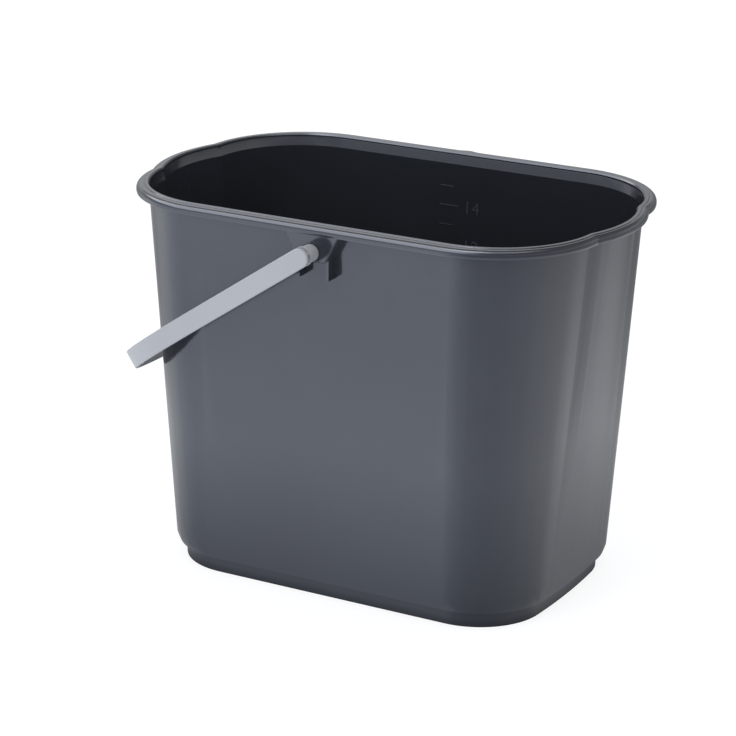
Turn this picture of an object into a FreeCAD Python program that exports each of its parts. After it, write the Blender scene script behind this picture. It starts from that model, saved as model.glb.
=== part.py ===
import FreeCAD, Part
import math
import os
from FreeCAD import Vector

# A moulded plastic bucket of about fifteen litres with a swinging bail.
# Millimetres. Origin: centre of the foot ring, on the surface the bucket stands on. +X runs along the
# long sides, +Z is up, and the bail's axis is parallel to Y.

# Overall shell
height = 285.5
wall = 2.0
base_wall_extra = 0.6
floor_top = 15.0
floor_thickness = 2.4
floor_round = 8.0
heel_height = 9.0

# Plan outline at the rim: a straight long side, a round corner, a notch and a crowned end panel.
# The corner's arc stops short of the end panel's direction by the corner end angle, at every height.
corner_end_angle = 3.0
corner_parts = 7
panel_parts = 3
top_half_length = 171.8
top_half_width = 108.4
top_corner_radius = 71.4
top_crown = 8.7
top_notch_radius = 8.0

# Plan outline where the wall ends above the foot, with an almost flat end panel
low_half_length = 151.6
low_half_width = 99.5
low_corner_radius = 58.0
low_crown = 1.5
low_notch_radius = 80.0
low_height = 18.1

# Sloping band under the wall, and the foot ring
band_inset = 2.0
foot_inset = 7.0
foot_draft = 0.5
foot_skirt = 2.5

# Ribs under the floor
rib_thickness = 1.8
rib_height = 6.0
cross_rib_count = 4
hub_ring_radius = 16.0

# Rim flange with a turned-down lip and a raised bead round the mouth
rim_overhang_side = 11.6
rim_overhang_end = 8.2
rim_depth = 6.2
rim_round = 3.6
rim_lip = 2.0
lip_bevel = 0.25
lip_bevel_height = 0.8
rim_thickness = 2.2
rim_notch_radius = 4.0
bead_height = 0.5
bead_width = 3.8
bead_edge = 0.5
mouth_edge = 1.0

# Flare of the wall under the rim
flare_height = 6.0
flare_reach = 2.0

# Slight widening in the middle of the rear rim
tab_width = 20.0
tab_reach = 2.0

# Bail bracket: two side webs that splay towards the rim, and a front apron with the pivot hole
bracket_top_half = 21.2
bracket_low_half = 12.5
bracket_knee_drop = 16.3
bracket_leg_drop = 32.3
bracket_web = 2.0
bracket_front_gap = 3.0
apron_proud = 2.6
apron_thickness = 3.2
apron_edge_margin = 0.2
apron_drop = 19.1
apron_corner_radius = 2.0
apron_edge = 0.7
wall_bite = 1.2
stop_rib = 1.8

# Bail
pivot_drop = 18.8
rest_angle = 34.2
strip_width = 14.2
strip_thickness = 3.0
strip_edge = 0.5
bail_straight = 101.0
collar_thickness = 2.0
collar_window = 2.9
core_radius = 4.2
hub_length = 9.7
collar_rib_count = 5
collar_rib = 1.6
collar_rib_inset = 0.5
hub_radius = 6.2
journal_radius = 4.0
head_radius = 5.4
head_thickness = 3.0
head_cone = 1.8
head_slot = 1.4
tail_length = 10.2
tail_width = 4.0

# Fits
running_clearance = 0.06
side_clearance = 0.3
stop_clearance = 0.3
overrun = 1.0


# Plan outlines
def section(half_length, half_width, corner_radius, crown, notch_radius):
    """Sizes of one outline. The end panel's radius makes its arc touch the notch's hollow arc."""
    turn = math.radians(corner_end_angle)
    reach = corner_radius + notch_radius
    hollow_x = half_length - corner_radius + reach * math.cos(turn)
    hollow_y = half_width - corner_radius + reach * math.sin(turn)
    step = hollow_x - half_length - crown
    end_radius = (step ** 2 + hollow_y ** 2 - notch_radius ** 2) / (2 * (notch_radius - step))
    return dict(a=half_length, b=half_width, rc=corner_radius, re=end_radius, rn=notch_radius,
                tip=half_length + crown, turn=turn, offset=0, widening=False)


def grown(sec, by):
    """The same outline, moved outwards by a distance, with its arcs kept concentric."""
    changed = {key: sec[key] + by for key in ("a", "b", "rc", "re", "tip", "offset")}
    return dict(sec, rn=sec["rn"] - by, **changed)


def along(centre, radius, start, stop, parts):
    """Points on an arc from one direction to another: the ends of its parts and their middles."""
    turns = [start + (stop - start) * index / (2 * parts) for index in range(2 * parts + 1)]
    return [centre + Vector(math.cos(turn), math.sin(turn), 0) * radius for turn in turns]


def quarter(sec):
    """Points from the end of the +Y long side, over corner and hollow, to the end panel's crown."""
    corner = Vector(sec["a"] - sec["rc"], sec["b"] - sec["rc"], 0)
    end = Vector(sec["tip"] - sec["re"], 0, 0)
    outward = Vector(math.cos(sec["turn"]), math.sin(sec["turn"]), 0)
    hollow = corner + outward * (sec["rc"] + sec["rn"])
    across = hollow - end
    half_panel = math.atan2(across.y, across.x)
    points = along(corner, sec["rc"], math.pi / 2, sec["turn"], corner_parts)
    points += along(hollow, sec["rn"], math.pi + sec["turn"], math.pi + half_panel, 1)[1:]
    return points + along(end, sec["re"], half_panel, 0, panel_parts)[1:]


def rear_side(sec):
    """Points along the +Y long side's widening, three for each arc of its S-curves."""
    half = tab_width / 2
    turn = 2 * math.atan(tab_reach / half)
    radius = half / (2 * math.sin(turn))
    base = sec["b"] - sec["offset"]
    hollow = radius - sec["offset"]
    crest = radius + sec["offset"]
    middle = (half - hollow * math.sin(turn / 2), base + radius - hollow * math.cos(turn / 2))
    join = (crest * math.sin(turn), base + tab_reach - radius + crest * math.cos(turn))
    right = [join, middle, (half, sec["b"])]
    left = [(-x, y) for x, y in reversed(right)]
    return [Vector(x, y, 0) for x, y in left + [(0, base + tab_reach + sec["offset"])] + right]


def outline(sec, z):
    """Closed wire: two long sides, four corners, four hollows and two end panels."""
    first = quarter(sec)
    half = first + [Vector(point.x, -point.y, 0) for point in reversed(first[:-1])]
    turned = [point * -1 for point in half]
    edges = arcs(half, z) + [line(half[-1], turned[0], z)] + arcs(turned, z)
    if sec["widening"]:
        middle = rear_side(sec)
        edges += [line(turned[-1], middle[0], z)] + arcs(middle, z) + [line(middle[-1], half[0], z)]
    else:
        edges.append(line(turned[-1], half[0], z))
    return Part.Wire(edges)


def arcs(points, z):
    up = Vector(0, 0, z)
    return [Part.Arc(points[start] + up, points[start + 1] + up, points[start + 2] + up).toShape()
            for start in range(0, len(points) - 2, 2)]


def line(start, stop, z):
    up = Vector(0, 0, z)
    return Part.LineSegment(start + up, stop + up).toShape()


def loft(low, low_z, high, high_z):
    return Part.makeLoft([outline(low, low_z), outline(high, high_z)], True, True)


def prism(sec, low_z, high_z):
    return Part.Face(outline(sec, low_z)).extrude(Vector(0, 0, high_z - low_z))


def edges_at(shape, z):
    """Edges that lie wholly at one height."""
    return [edge for edge in shape.Edges
            if abs(edge.BoundBox.ZMin - z) < slack and abs(edge.BoundBox.ZMax - z) < slack]


def polygon_prism(points, y_from, y_to):
    """Prism along Y over a polygon of (x, z) points."""
    corners = [Vector(x, y_from, z) for x, z in points]
    face = Part.Face(Part.makePolygon(corners + corners[:1]))
    return face.extrude(Vector(0, y_to - y_from, 0))


def mirrored_y(shape):
    return shape.mirror(Vector(0, 0, 0), Vector(0, 1, 0))


top = section(top_half_length, top_half_width, top_corner_radius, top_crown, top_notch_radius)
low = section(low_half_length, low_half_width, low_corner_radius, low_crown, low_notch_radius)
rim_edge = section(top_half_length + rim_overhang_end, top_half_width + rim_overhang_side,
                   top_corner_radius + (rim_overhang_side + rim_overhang_end) / 2,
                   top_crown, rim_notch_radius)
rim_edge["widening"] = True
slack = wall / 100
floor_under = floor_top - floor_thickness
rim_under = height - rim_depth
flange_top = height - bead_height
flange_under = flange_top - rim_thickness
flare_z = flange_under - flare_height
mouth = grown(top, flare_reach - wall)


def shell_outside():
    """Tapered wall with its flare, sloping band and foot, as one filled block."""
    walls = loft(low, low_height, top, flare_z)
    flare = loft(top, flare_z, grown(top, flare_reach), flange_under)
    band = loft(grown(low, -band_inset), floor_under, low, low_height)
    foot_top = grown(low, -foot_inset)
    foot = loft(grown(foot_top, -foot_draft), 0, foot_top, floor_under)
    return walls.fuse([flare, band, foot])


def shell_inside():
    """The space inside: an upright heel with a rounded edge, the taper, the flare and the mouth."""
    bottom = grown(low, -(wall + base_wall_extra))
    heel_top = floor_top + heel_height
    heel = prism(bottom, floor_top, heel_top)
    heel = heel.makeFillet(floor_round, edges_at(heel, floor_top))
    throat = grown(top, -wall)
    taper = loft(bottom, heel_top, throat, flare_z)
    flare = loft(throat, flare_z, mouth, flange_under)
    return heel.fuse([taper, flare, prism(mouth, flange_under, height)])


def rim():
    """Flange, turned-down lip and bead, as a block that the space inside cuts open."""
    bevel_top = rim_under + lip_bevel_height
    flange = prism(rim_edge, bevel_top, flange_top)
    flange = flange.makeFillet(rim_round, edges_at(flange, flange_top))
    flange = flange.fuse(loft(grown(rim_edge, -lip_bevel), rim_under, rim_edge, bevel_top))
    flange = flange.cut(prism(grown(rim_edge, -rim_lip), rim_under, flange_under))
    bead = prism(grown(mouth, bead_width), flange_under, height)
    return flange.fuse(bead.makeChamfer(bead_edge, edges_at(bead, height)))


def underside():
    """Hollow foot with the ribs that stiffen the floor."""
    skirt_inside = grown(low, -(foot_inset + foot_draft + foot_skirt))
    hollow = prism(skirt_inside, -overrun, floor_under)
    rib_low = floor_under - rib_height
    half_rib = rib_thickness / 2
    length = 2 * (low["a"] - foot_inset)
    width = 2 * (low["b"] - foot_inset)
    long_rib = Part.makeBox(length, rib_thickness, rib_height, Vector(-length / 2, -half_rib, rib_low))
    ribs = []
    for index in range(cross_rib_count):
        x = length * ((index + 1) / (cross_rib_count + 1) - 1 / 2)
        corner = Vector(x - half_rib, -width / 2, rib_low)
        ribs.append(Part.makeBox(rib_thickness, width, rib_height, corner))
    ring = Part.makeCylinder(hub_ring_radius, rib_height, Vector(0, 0, rib_low))
    core = Part.makeCylinder(hub_ring_radius - rib_thickness, rib_height, Vector(0, 0, rib_low))
    return hollow.cut(long_rib.fuse(ribs + [ring.cut(core)]))


# Bracket and pivot places, for the bracket on the -Y side
pivot_z = height - pivot_drop
web_front = rim_edge["b"] - bracket_front_gap
apron_face = web_front + apron_proud
apron_back = apron_face - apron_thickness
splay = (bracket_top_half - bracket_low_half) / bracket_knee_drop
rest = math.radians(rest_angle)
stop_x = tail_length * math.cos(rest) - tail_width / 2 * math.sin(rest)
stop_z = pivot_z + tail_length * math.sin(rest) + tail_width / 2 * math.cos(rest) + stop_clearance


def side_profile(inset, drop):
    """Half of the bracket's outline from under the flange down: splayed to the knee, then upright."""
    top_half = bracket_top_half + splay * (flange_under - rim_under) - inset
    low_half = bracket_low_half - inset
    return [(top_half, flange_under), (low_half, rim_under - bracket_knee_drop), (low_half, rim_under - drop)]


def both_sides(half):
    return half + [(-x, z) for x, z in reversed(half)]


def bracket():
    """Two webs, the apron across their front, and two ribs between them that stop the bail's tail."""
    back = top_half_width - wall - wall_bite
    filled = polygon_prism(both_sides(side_profile(0, bracket_leg_drop)), -web_front, -back)
    pocket = polygon_prism(both_sides(side_profile(bracket_web, bracket_leg_drop + overrun)), -web_front, -back)
    pieces = [apron()]
    for side in (-1, 1):
        corner = Vector(side * stop_x - stop_rib / 2, -apron_face + apron_thickness / 2, stop_z)
        pieces.append(Part.makeBox(stop_rib, apron_back - back, flange_under - stop_z, corner))
    return filled.cut(pocket).fuse(pieces).cut(pivot_hole())


def apron():
    low_z = rim_under - apron_drop
    low_half = bracket_top_half - apron_edge_margin - splay * apron_drop
    half = [(bracket_top_half - apron_edge_margin, rim_under), (low_half, low_z)]
    plate = polygon_prism(both_sides(half), -apron_face, -apron_back)
    corners = []
    for edge in plate.Edges:
        box = edge.BoundBox
        if box.ZMax < low_z + slack and box.YLength > slack and box.XLength < slack:
            corners.append(edge)
    plate = plate.makeFillet(apron_corner_radius, corners)
    front = []
    for edge in plate.Edges:
        box = edge.BoundBox
        if box.YMax < -apron_face + slack and box.ZMin < rim_under - slack:
            front.append(edge)
    return plate.makeChamfer(apron_edge, front)


def pivot_hole():
    length = 2 * (apron_face - apron_back)
    start = Vector(0, -apron_face - length / 4, pivot_z)
    return Part.makeCylinder(journal_radius + running_clearance, length, start, Vector(0, 1, 0))


def bucket_body():
    one_bracket = bracket()
    block = shell_outside().fuse([rim(), one_bracket, mirrored_y(one_bracket)])
    body = block.cut([shell_inside(), underside()])
    lip = [face for face in body.Faces if face.BoundBox.ZMin > height - slack][0]
    mouth_edges = []
    for wire in lip.Wires:
        if not wire.isSame(lip.OuterWire):
            mouth_edges += wire.Edges
    return body.makeChamfer(mouth_edge, mouth_edges)


# Bail, drawn level with its arms along -X and then lowered to the angle where it rests
hub_end = apron_face + side_clearance
collar_end = hub_end + hub_length
collar_start = collar_end + collar_thickness
inner_half = collar_start + collar_window
bail_half_span = inner_half + strip_thickness


def strip():
    """Two straight arms and a half-round bow, cut from one strip."""
    outer = Part.makeCylinder(bail_half_span, strip_width, Vector(-bail_straight, 0, pivot_z - strip_width / 2))
    arms = Part.makeBox(bail_straight, 2 * bail_half_span, strip_width,
                        Vector(-bail_straight, -bail_half_span, pivot_z - strip_width / 2))
    hole = Part.makeCylinder(inner_half, strip_width, Vector(-bail_straight, 0, pivot_z - strip_width / 2))
    gap = Part.makeBox(bail_straight, 2 * inner_half, strip_width,
                       Vector(-bail_straight, -inner_half, pivot_z - strip_width / 2))
    right_half = Part.makeBox(bail_half_span, 2 * bail_half_span, strip_width,
                              Vector(-bail_straight, -bail_half_span, pivot_z - strip_width / 2))
    bow = outer.cut(right_half).fuse(arms)
    bow = bow.cut([hole, gap]).removeSplitter()
    ends = []
    for side in (-1, 1):
        start = Vector(0, side * bail_half_span, pivot_z)
        ends.append(Part.makeCylinder(strip_width / 2, strip_thickness, start, Vector(0, -side, 0)))
    whole = bow.fuse(ends).removeSplitter()
    long_edges = []
    for edge in whole.Edges:
        box = edge.BoundBox
        if box.XLength > slack or box.ZLength < strip_width / 2:
            long_edges.append(edge)
    return whole.makeChamfer(strip_edge, long_edges)


def hub():
    """Pivot of the -Y arm: ribbed collar, hub, journal, and a slotted head with its stop tail."""
    axis = Vector(0, 1, 0)

    def drum(radius, outer, inner):
        return Part.makeCylinder(radius, outer - inner, Vector(0, -outer, pivot_z), axis)

    journal_end = apron_back - side_clearance
    head_end = journal_end - head_thickness
    pieces = [drum(core_radius, inner_half + strip_thickness / 2, collar_start)]
    pieces.append(drum(strip_width / 2, collar_start, collar_end))
    pieces.append(drum(hub_radius, collar_end, hub_end))
    pieces.append(drum(journal_radius, hub_end, journal_end))
    pieces.append(drum(head_radius, journal_end, head_end))
    pieces.append(Part.makeCone(head_radius, journal_radius, head_cone, Vector(0, -head_end, pivot_z), axis))
    rib_reach = strip_width / 2 - collar_rib_inset
    for index in range(collar_rib_count):
        rib = Part.makeBox(rib_reach, collar_window, collar_rib,
                           Vector(0, -inner_half, pivot_z - collar_rib / 2))
        rib.rotate(Vector(0, 0, pivot_z), axis, 360 * index / collar_rib_count)
        pieces.append(rib)
    pieces.append(Part.makeBox(tail_length, head_thickness, tail_width,
                               Vector(0, -journal_end, pivot_z - tail_width / 2)))
    whole = pieces[0].fuse(pieces[1:])
    slot = Part.makeBox(head_slot, hub_end - head_end + head_cone, 2 * head_radius,
                        Vector(-head_slot / 2, -hub_end, pivot_z - head_radius))
    return whole.cut(slot)


def bail():
    one_hub = hub()
    whole = strip().fuse([one_hub, mirrored_y(one_hub)])
    whole.rotate(Vector(0, 0, pivot_z), Vector(0, 1, 0), -rest_angle)
    return whole


os.makedirs("parts", exist_ok=True)
for name, shape in (("bucket_body", bucket_body()), ("bail", bail())):
    if len(shape.Solids) != 1 or not shape.isValid():
        raise ValueError(name + " is not one valid solid")
    shape.Solids[0].exportStep("parts/" + name + ".step")
    print(name, "volume", round(shape.Volume), "box", shape.BoundBox)
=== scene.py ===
import math

import bmesh
import bpy
from mathutils import Matrix, Vector


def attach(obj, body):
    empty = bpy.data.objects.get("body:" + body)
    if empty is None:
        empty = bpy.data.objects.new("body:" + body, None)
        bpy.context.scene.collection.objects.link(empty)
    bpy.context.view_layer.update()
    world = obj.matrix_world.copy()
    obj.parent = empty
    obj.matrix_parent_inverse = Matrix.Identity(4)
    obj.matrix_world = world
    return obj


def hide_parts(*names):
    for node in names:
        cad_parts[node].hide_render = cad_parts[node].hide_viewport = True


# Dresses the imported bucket: satin anthracite and silver-grey plastic, and the litre scale inside.
# Metres. +X runs along the long sides, +Z is up, and the bail hangs towards -X.

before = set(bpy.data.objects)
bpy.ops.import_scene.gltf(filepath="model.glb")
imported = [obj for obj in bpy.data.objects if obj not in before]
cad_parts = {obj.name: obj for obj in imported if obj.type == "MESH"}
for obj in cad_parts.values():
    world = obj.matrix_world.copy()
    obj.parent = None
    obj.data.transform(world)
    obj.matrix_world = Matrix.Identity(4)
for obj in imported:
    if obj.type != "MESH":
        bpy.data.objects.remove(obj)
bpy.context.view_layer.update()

MM = 0.001
LITRE = 0.001  # in cubic metres

# Inside of the shell: half length, half width, corner radius and crown of the ends, at the heel and
# where the flare starts
HEEL = dict(z=24.0 * MM, half_length=149.0 * MM, half_width=96.9 * MM, corner=55.4 * MM, crown=1.5 * MM)
THROAT = dict(z=276.8 * MM, half_length=169.8 * MM, half_width=106.4 * MM, corner=69.4 * MM, crown=8.7 * MM)
FLOOR_Z = 15.0 * MM
FLOOR_ROUND = 8.0 * MM

# Litre scale on the inside of the rear wall. LAYER is the step in which the bucket is filled to find the
# heights. The marks stand out by RAISED, and go into the wall by SUNK.
LITRES = 15
LAYER = 0.1 * MM
TICK_START_X = -17.5 * MM
SHORT_TICK_END_X = -6.5 * MM
LONG_TICK_END_X = -1.5 * MM
TICK_WIDTH = 0.7 * MM
NUMBER_X = 5.2 * MM
NUMBER_HEIGHT = 9.6 * MM
DIGIT_SHARE = 0.69  # height of a digit as a share of the font's size
RAISED = 0.35 * MM
SUNK = 0.15 * MM

# Shading of the shell: seams closer than this are merged, and edges sharper than this stay crisp
SEAM = 0.005 * MM
SHARP_EDGE = math.radians(30)

# Camera of the photograph: the way it looks, where it stands, and its lens in pixels of a 736 frame
SENSOR_WIDTH = 36.0
FRAME_PIXELS = 736
FOCAL_PIXELS = 2900.3
AXIS_PIXEL = (300.0, 362.0)
FAR_CLIP = 50.0
CAMERA_PLACE = Vector((0.95438, -1.77155, 0.83434))
CAMERA_RIGHT = Vector((0.8639, 0.5036, 0.0))
CAMERA_BACK = Vector((0.4769, -0.8181, 0.3211))

# Plastics: the two ends of the colour's drift, the range of roughness, the grain's depth and the sheen
ANTHRACITE = dict(dark=(0.020, 0.022, 0.026), light=(0.023, 0.026, 0.030), rough=(0.11, 0.17),
                  grain=0.02 * MM, sheen=0.5)
MARKS = dict(dark=(0.027, 0.030, 0.034), light=(0.031, 0.034, 0.039), rough=(0.40, 0.50),
             grain=0.02 * MM, sheen=0.5)
SILVER = dict(dark=(0.335, 0.335, 0.325), light=(0.365, 0.365, 0.355), rough=(0.42, 0.52),
              grain=0.03 * MM, sheen=0.25)

# How fine each texture of the plastics is, with its detail
DRIFT = dict(Scale=9.0, Detail=2.0, Roughness=0.5)
HANDLING = dict(Scale=60.0, Detail=4.0, Roughness=0.6)
GRAIN = dict(Scale=1400.0, Detail=2.0, Roughness=0.5)
GRAIN_STRENGTH = 0.35
NOISE_SPAN = (0.3, 0.7)  # the middle of a noise texture's values, which is all that is used

# Surround. Turns are about Z in degrees: 0 is +X and -90 faces the long side in front. Heights are the Z
# of a direction. ROUND_LEVELS is how bright it mirrors all round, and LEFT_HEIGHTS and OTHER_HEIGHTS how
# that changes with height, on the left (LEFT_SIDE) and elsewhere.
ROUND_LEVELS = ((-180, 1.8), (-150, 2.1), (-126, 2.65), (-116, 2.65), (-103, 1.9), (-82, 1.5), (-56, 1.36),
                (-30, 1.5), (0, 1.75), (30, 1.75), (52, 1.9), (68, 1.4), (85, 0.85), (104, 0.8), (120, 1.35),
                (150, 1.4), (180, 1.8))
LEFT_HEIGHTS = ((-1.0, 1.0), (-0.43, 1.0), (-0.40, 0.93), (-0.37, 0.78), (-0.345, 0.72), (-0.32, 0.92),
                (-0.25, 1.0), (0.0, 0.9), (0.14, 0.5), (0.30, 0.4), (0.42, 0.35), (0.68, 0.3), (0.88, 0.3),
                (0.97, 2.0), (1.0, 2.0))
OTHER_HEIGHTS = ((-1.0, 1.0), (-0.43, 1.0), (-0.40, 0.90), (-0.37, 0.70), (-0.345, 0.5), (-0.32, 0.36),
                 (0.05, 0.36), (0.20, 0.6), (0.30, 0.8), (0.42, 0.4), (0.68, 0.3), (0.88, 0.3), (0.97, 2.0),
                 (1.0, 2.0))
LEFT_SIDE = ((-180, 1), (-108, 1), (-85, 0), (150, 0), (180, 1))
# How bright the surround is where it isn't mirrored
MATT_HEIGHTS = ((-1.0, 1.3), (0.05, 1.3), (0.42, 0.6), (0.68, 0.48), (0.88, 0.48), (0.97, 2.6), (1.0, 2.6))
# A soft box at the left, above the rim: its brightness, the heights over which it starts, and its side
SOFT_BOX = 5.0
SOFT_BOX_EDGE = (0.36, 0.50)
SOFT_BOX_SIDE = ((-180, 1), (-112, 1), (-75, 0), (140, 0), (165, 1), (180, 1))
# The surround is a little blue, more on the left, and changes over these turns
LEFT_TINT, RIGHT_TINT = (0.92, 0.98, 1.14), (0.97, 1.00, 1.05)
TINT_TURNS = (-60, 35)

# Floor. To the bucket's gloss and matt light it is nearly black round a patch with FLOOR_PATCH as its half
# size, a painted shadow of the bucket by its foot, and FLOOR_IN_GLOSS is the share of the surround that it
# lets through by the distance from that patch.
FLOOR_HALF = 8.0
FLOOR_DROP = 0.2 * MM
FLOOR_GLOW, FLOOR_COLOUR = 0.86, 0.22
FLOOR_PATCH = (0.095, 0.045, 0)
FLOOR_IN_GLOSS = ((0.045, 0.1), (0.060, 0.4), (0.29, 1.0))


# Objects
def new_object(name, data):
    made = bpy.data.objects.new(name, data)
    bpy.context.scene.collection.objects.link(made)
    return made


def shape_taken_from(holder):
    """The mesh that an object shows, text or modifiers included. The object itself is removed."""
    shown = holder.evaluated_get(bpy.context.evaluated_depsgraph_get())
    mesh = bpy.data.meshes.new_from_object(shown)
    bpy.data.objects.remove(holder)
    return mesh


def place_camera():
    data = bpy.data.cameras.new("camera")
    data.sensor_width = SENSOR_WIDTH
    data.lens = FOCAL_PIXELS * SENSOR_WIDTH / FRAME_PIXELS
    data.shift_x = 0.5 - AXIS_PIXEL[0] / FRAME_PIXELS
    data.shift_y = AXIS_PIXEL[1] / FRAME_PIXELS - 0.5
    data.clip_end = FAR_CLIP
    camera = new_object("camera", data)
    right = CAMERA_RIGHT.normalized()
    back = (CAMERA_BACK - CAMERA_BACK.dot(right) * right).normalized()
    axes = Matrix((right, back.cross(right), back)).transposed().to_4x4()
    camera.matrix_world = Matrix.Translation(CAMERA_PLACE) @ axes
    bpy.context.scene.camera = camera


def add_lamp(name, place, aim, size, power):
    """A soft lamp that lights the bucket without a mirror image of its own."""
    data = bpy.data.lights.new(name, "AREA")
    data.size = size
    data.energy = power
    lamp = new_object(name, data)
    away = (Vector(place) - Vector(aim)).normalized()
    lamp.matrix_world = Matrix.Translation(place) @ away.to_track_quat("Z", "Y").to_matrix().to_4x4()
    lamp.visible_glossy = False


# Nodes
def new_material(name):
    material = bpy.data.materials.new(name)
    material.use_nodes = True
    return material, material.node_tree


def add_node(tree, kind, **settings):
    """A node with its attributes and, for names that are inputs, their values."""
    node = tree.nodes.new(kind)
    for name, value in settings.items():
        if hasattr(node, name):
            setattr(node, name, value)
        else:
            node.inputs[name.replace("_", " ")].default_value = value
    return node


def feed(tree, value, socket):
    """Links an input to another node's output, or sets it where the value is a number or a colour."""
    if isinstance(value, bpy.types.NodeSocket):
        tree.links.new(value, socket)
    else:
        socket.default_value = value


def math_node(tree, operation, *values):
    node = add_node(tree, "ShaderNodeMath", operation=operation)
    for socket, value in zip(node.inputs, values):
        feed(tree, value, socket)
    return node.outputs[0]


def vector_node(tree, operation, *values):
    node = add_node(tree, "ShaderNodeVectorMath", operation=operation)
    for socket, value in zip(node.inputs, values):
        feed(tree, value, socket)
    return node.outputs["Value" if operation == "LENGTH" else "Vector"]


def combine(tree, **values):
    node = add_node(tree, "ShaderNodeCombineXYZ")
    for name, value in values.items():
        feed(tree, value, node.inputs[name])
    return node.outputs[0]


def mix(tree, kind, fac, first, second):
    """Blends two numbers (FLOAT) or two colours (RGBA)."""
    node = add_node(tree, "ShaderNodeMix", data_type=kind)
    for name, value in (("Factor", fac), ("A", first), ("B", second)):
        feed(tree, value, node.inputs[name])
    return node.outputs["Result"]


def mix_shader(tree, fac, first, second):
    node = add_node(tree, "ShaderNodeMixShader")
    for socket, value in zip(node.inputs, (fac, first, second)):
        tree.links.new(value, socket)
    return node.outputs[0]


def ramp(tree, value, span, low, high, ease="LINEAR"):
    """Goes from low to high while the value goes through the span, and holds outside it."""
    node = add_node(tree, "ShaderNodeMapRange", interpolation_type=ease, From_Min=span[0], From_Max=span[1],
                    To_Min=low, To_Max=high)
    tree.links.new(value, node.inputs["Value"])
    return node.outputs["Result"]


def profile(tree, value, stops):
    """Reads a list of places and levels, straight from one to the next."""
    first, last = stops[0][0], stops[-1][0]
    top = max(level for place, level in stops)
    node = add_node(tree, "ShaderNodeValToRGB")
    elements = node.color_ramp.elements
    while len(elements) < len(stops):
        elements.new(0.5)
    for element, (place, level) in zip(elements, stops):
        element.position = (place - first) / (last - first)
        element.color = (level / top, level / top, level / top, 1)
    tree.links.new(ramp(tree, value, (first, last), 0, 1), node.inputs["Fac"])
    return math_node(tree, "MULTIPLY", node.outputs["Color"], top)


def tint(tree, fac, first, second):
    return mix(tree, "RGBA", fac, (*first, 1), (*second, 1))


def noise(tree, place, settings):
    node = add_node(tree, "ShaderNodeTexNoise", **settings)
    tree.links.new(place, node.inputs["Vector"])
    return node.outputs["Fac"]


def moulded_plastic(name, dark, light, rough, grain, sheen):
    """Satin moulded plastic: slow colour drift, a fine mould grain and faint handling marks."""
    material, tree = new_material(name)
    surface = tree.nodes["Principled BSDF"].inputs
    place = add_node(tree, "ShaderNodeTexCoord").outputs["Object"]
    drift = ramp(tree, noise(tree, place, DRIFT), NOISE_SPAN, 0, 1)
    tree.links.new(tint(tree, drift, dark, light), surface["Base Color"])
    tree.links.new(ramp(tree, noise(tree, place, HANDLING), NOISE_SPAN, *rough), surface["Roughness"])
    surface["Specular IOR Level"].default_value = sheen
    skin = add_node(tree, "ShaderNodeBump", Strength=GRAIN_STRENGTH, Distance=grain)
    tree.links.new(noise(tree, place, GRAIN), skin.inputs["Height"])
    tree.links.new(skin.outputs["Normal"], surface["Normal"])
    return material


def light_world():
    """White to the camera. Round the bucket it is brightest on the left, with a soft patch overhead."""
    world = bpy.data.worlds.new("surround")
    bpy.context.scene.world = world
    world.use_nodes = True
    tree = world.node_tree
    background = tree.nodes["Background"].inputs
    path = add_node(tree, "ShaderNodeLightPath").outputs
    parts = add_node(tree, "ShaderNodeSeparateXYZ")
    tree.links.new(add_node(tree, "ShaderNodeTexCoord").outputs["Generated"], parts.inputs[0])
    turn = math_node(tree, "ARCTAN2", parts.outputs["Y"], parts.outputs["X"])
    turn = math_node(tree, "MULTIPLY", turn, 180 / math.pi)
    height = parts.outputs["Z"]

    by_height = mix(tree, "FLOAT", profile(tree, turn, LEFT_SIDE), profile(tree, height, OTHER_HEIGHTS),
                    profile(tree, height, LEFT_HEIGHTS))
    room = math_node(tree, "MULTIPLY", profile(tree, turn, ROUND_LEVELS), by_height)
    soft_box = math_node(tree, "MULTIPLY", profile(tree, turn, SOFT_BOX_SIDE),
                         ramp(tree, height, SOFT_BOX_EDGE, 0, SOFT_BOX, "SMOOTHSTEP"))
    mirrored = math_node(tree, "ADD", room, soft_box)
    lit = mix(tree, "FLOAT", path["Is Glossy Ray"], profile(tree, height, MATT_HEIGHTS), mirrored)
    tree.links.new(mix(tree, "FLOAT", path["Is Camera Ray"], lit, 1.0), background["Strength"])

    tinted = tint(tree, ramp(tree, turn, TINT_TURNS, 0, 1, "SMOOTHSTEP"), LEFT_TINT, RIGHT_TINT)
    white = mix(tree, "RGBA", path["Is Camera Ray"], tinted, (1, 1, 1, 1))
    tree.links.new(white, background["Color"])


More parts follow.
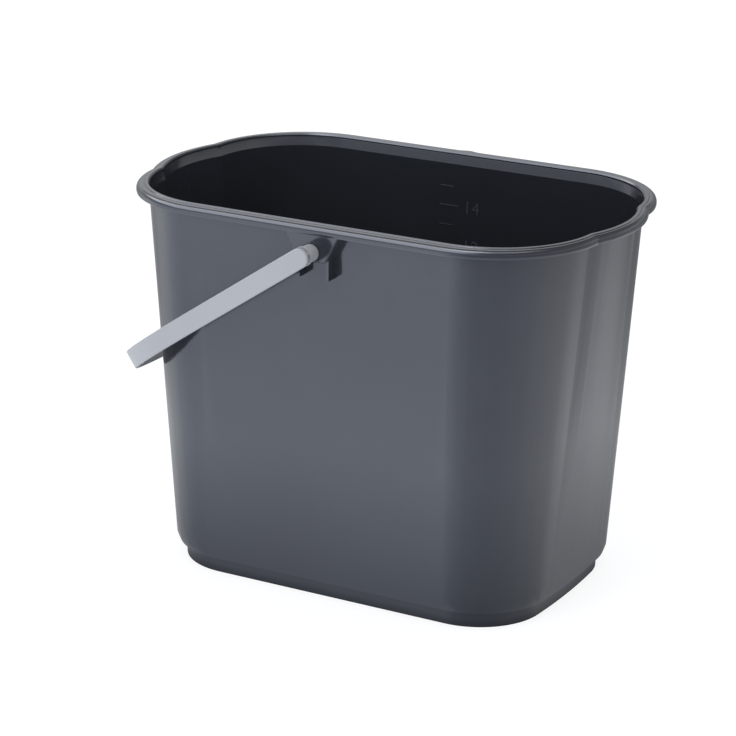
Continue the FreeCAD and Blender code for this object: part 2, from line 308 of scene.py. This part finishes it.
def floor_material():
    """To the camera white, with the bucket's shadow on it. To other rays it is dark by the foot: a painted
    shadow.
    """
    material, tree = new_material("white_floor")
    tree.nodes.clear()
    place = add_node(tree, "ShaderNodeTexCoord").outputs["Object"]
    past_patch = vector_node(tree, "SUBTRACT", vector_node(tree, "ABSOLUTE", place), FLOOR_PATCH)
    distance = vector_node(tree, "LENGTH", vector_node(tree, "MAXIMUM", past_patch))
    # Painted shadow: to all but camera rays the floor is black by the foot and fades to clear further out
    painted_floor_shadow = add_node(tree, "ShaderNodeEmission", Strength=0.0)
    clear = add_node(tree, "ShaderNodeBsdfTransparent")
    mirrored = mix_shader(tree, profile(tree, distance, FLOOR_IN_GLOSS), painted_floor_shadow.outputs[0], clear.outputs[0])
    glow = add_node(tree, "ShaderNodeEmission", Strength=FLOOR_GLOW)
    shadowed = add_node(tree, "ShaderNodeBsdfDiffuse", Color=(FLOOR_COLOUR, FLOOR_COLOUR, FLOOR_COLOUR, 1))
    seen = add_node(tree, "ShaderNodeAddShader")
    tree.links.new(glow.outputs[0], seen.inputs[0])
    tree.links.new(shadowed.outputs[0], seen.inputs[1])
    to_camera = add_node(tree, "ShaderNodeLightPath").outputs["Is Camera Ray"]
    out = add_node(tree, "ShaderNodeOutputMaterial")
    tree.links.new(mix_shader(tree, to_camera, mirrored, seen.outputs[0]), out.inputs["Surface"])
    return material


def lay_floor():
    """A wide floor just under the foot ring."""
    mesh = bpy.data.meshes.new("floor")
    corners = [(-FLOOR_HALF, -FLOOR_HALF), (FLOOR_HALF, -FLOOR_HALF), (FLOOR_HALF, FLOOR_HALF),
               (-FLOOR_HALF, FLOOR_HALF)]
    mesh.from_pydata([(x, y, -FLOOR_DROP) for x, y in corners], [], [(0, 1, 2, 3)])
    mesh.materials.append(floor_material())
    floor = new_object("floor", mesh)
    floor.visible_shadow = False


# Litre scale
def inside(measure, z):
    """A measure of the shell's inside at a height between the heel and the flare."""
    share = (z - HEEL["z"]) / (THROAT["z"] - HEEL["z"])
    return HEEL[measure] + share * (THROAT[measure] - HEEL[measure])


def inside_area(z):
    """Area inside the walls at a height: a rectangle with round corners and two crowned ends."""
    a, b, corner, crown = (inside(name, z) for name in ("half_length", "half_width", "corner", "crown"))
    crowned_ends = 2 * (2 / 3) * crown * 2 * (b - corner)
    return 4 * a * b - (4 - math.pi) * corner ** 2 + crowned_ends


def litre_heights():
    """Heights at which the bucket holds each whole number of litres, by adding thin layers."""
    z = FLOOR_Z
    # The rounding along the floor's edge takes a few millilitres away
    held = -2 * FLOOR_ROUND ** 2 * (1 - math.pi / 4) * (HEEL["half_length"] + HEEL["half_width"])
    heights = []
    while len(heights) < LITRES:
        z += LAYER
        held += inside_area(max(z, HEEL["z"])) * LAYER
        if held >= (len(heights) + 1) * LITRE:
            heights.append(z)
    return heights


def wall_lean():
    return math.atan((THROAT["half_width"] - HEEL["half_width"]) / (THROAT["z"] - HEEL["z"]))


def on_rear_wall(z):
    """Turns a drawing in the XY plane to stand on the rear wall's inside, seen from the mouth."""
    turned = Matrix.Rotation(math.pi / 2 - wall_lean(), 4, "X")
    return Matrix.Translation((0, inside("half_width", z), z)) @ turned


def litre_numbers(heights):
    """Even numbers beside their ticks, raised from the wall."""
    vertices, faces = [], []
    for litre in range(2, LITRES + 1, 2):
        curve = bpy.data.curves.new("number", "FONT")
        curve.body = str(litre)
        curve.size = NUMBER_HEIGHT / DIGIT_SHARE
        curve.extrude = (RAISED + SUNK) / 2
        curve.align_y = "CENTER"
        mesh = shape_taken_from(new_object("number", curve))
        low = min(v.co.y for v in mesh.vertices)
        high = max(v.co.y for v in mesh.vertices)
        left = min(v.co.x for v in mesh.vertices)
        centred = Matrix.Translation((NUMBER_X - left, -(low + high) / 2, (RAISED - SUNK) / 2))
        place = on_rear_wall(heights[litre - 1]) @ centred
        first = len(vertices)
        vertices += [place @ v.co for v in mesh.vertices]
        faces += [[first + i for i in face.vertices] for face in mesh.polygons]
    mesh = bpy.data.meshes.new("litre_numbers")
    mesh.from_pydata(vertices, [], faces)
    mesh.validate()
    return mesh


def tick_tree(material):
    """A node tree that puts a bar on each point, long for even litres, and its inputs' identifiers."""
    tree = bpy.data.node_groups.new("litre_ticks", "GeometryNodeTree")
    add_socket = tree.interface.new_socket
    add_socket(name="Geometry", in_out="INPUT", socket_type="NodeSocketGeometry")
    inputs = {name: add_socket(name=name, in_out="INPUT", socket_type="NodeSocketFloat").identifier
              for name in ("Start", "Long", "Short", "Width", "Depth", "Lean")}
    add_socket(name="Geometry", in_out="OUTPUT", socket_type="NodeSocketGeometry")
    given = add_node(tree, "NodeGroupInput").outputs

    # The first point, of index 0, is the first litre, so an odd index is an even litre
    even_litre = math_node(tree, "MODULO", add_node(tree, "GeometryNodeInputIndex").outputs[0], 2.0)
    odd_litre = math_node(tree, "SUBTRACT", 1.0, even_litre)
    shorter = math_node(tree, "SUBTRACT", given["Short"], given["Long"])
    length = math_node(tree, "ADD", given["Long"], math_node(tree, "MULTIPLY", shorter, odd_litre))
    middle = math_node(tree, "ADD", given["Start"], math_node(tree, "MULTIPLY", length, 0.5))

    placed = add_node(tree, "GeometryNodeSetPosition")
    tree.links.new(given["Geometry"], placed.inputs["Geometry"])
    tree.links.new(combine(tree, X=middle), placed.inputs["Offset"])
    bars = add_node(tree, "GeometryNodeInstanceOnPoints")
    tree.links.new(placed.outputs[0], bars.inputs["Points"])
    tree.links.new(add_node(tree, "GeometryNodeMeshCube").outputs["Mesh"], bars.inputs["Instance"])
    tree.links.new(combine(tree, X=length, Y=given["Depth"], Z=given["Width"]), bars.inputs["Scale"])
    tree.links.new(combine(tree, X=given["Lean"]), bars.inputs["Rotation"])
    solid = add_node(tree, "GeometryNodeRealizeInstances")
    tree.links.new(bars.outputs[0], solid.inputs[0])
    coloured = add_node(tree, "GeometryNodeSetMaterial", Material=material)
    tree.links.new(solid.outputs[0], coloured.inputs["Geometry"])
    out = add_node(tree, "NodeGroupOutput")
    tree.links.new(coloured.outputs[0], out.inputs[0])
    return tree, inputs


def litre_ticks(heights, material):
    """A raised bar for each litre, made by the node tree from one point per litre."""
    points = bpy.data.meshes.new("litre_points")
    middle = (RAISED - SUNK) / 2
    points.from_pydata([(0, inside("half_width", z) - middle, z) for z in heights], [], [])
    holder = new_object("litre_points", points)
    ticks = holder.modifiers.new("ticks", "NODES")
    ticks.node_group, inputs = tick_tree(material)
    sizes = dict(Start=TICK_START_X, Long=LONG_TICK_END_X - TICK_START_X,
                 Short=SHORT_TICK_END_X - TICK_START_X, Width=TICK_WIDTH, Depth=RAISED + SUNK,
                 Lean=-wall_lean())
    for name, value in sizes.items():
        ticks[inputs[name]] = value
    return shape_taken_from(holder)


# Pieces
def evenly_shaded(node):
    """A copy of a solid's mesh with its seams merged, so that its roundings shade without steps."""
    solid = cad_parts[node].data
    mesh = bpy.data.meshes.new(node + "_even")
    mesh.from_pydata([v.co for v in solid.vertices], [], [face.vertices[:] for face in solid.polygons])
    shape = bmesh.new()
    shape.from_mesh(mesh)
    bmesh.ops.remove_doubles(shape, verts=shape.verts, dist=SEAM)
    for face in shape.faces:
        face.smooth = True
    for edge in shape.edges:
        flare_starts = all(abs(corner.co.z - THROAT["z"]) < SEAM for corner in edge.verts)
        edge.smooth = edge.calc_face_angle(0) < SHARP_EDGE and not flare_starts
    shape.to_mesh(mesh)
    shape.free()
    holder = new_object("even", mesh)
    weighted = holder.modifiers.new("weighted", "WEIGHTED_NORMAL")
    weighted.keep_sharp = True
    return shape_taken_from(holder)


def link_piece(name, mesh, material, body):
    piece = new_object(name, mesh)
    mesh.materials.clear()
    mesh.materials.append(material)
    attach(piece, body)
    return piece


place_camera()
bpy.context.scene.view_settings.view_transform = "Standard"
light_world()
lay_floor()
add_lamp("high_front", place=(-0.30, -1.70, 1.30), aim=(0, 0, 0.2), size=0.8, power=10.0)

anthracite = moulded_plastic("anthracite_plastic", **ANTHRACITE)
marks = moulded_plastic("litre_mark_plastic", **MARKS)
silver = moulded_plastic("silver_plastic", **SILVER)
for node, material in (("bucket_body", anthracite), ("bail", silver)):
    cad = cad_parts[node]
    cad.data.materials.clear()
    cad.data.materials.append(material)

shell = link_piece("bucket_shell", evenly_shaded("bucket_body"), anthracite, "bucket")
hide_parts("bucket_body")

heights = litre_heights()
link_piece("litre_numbers", litre_numbers(heights), marks, "bucket")
link_piece("litre_ticks", litre_ticks(heights, marks), marks, "bucket")
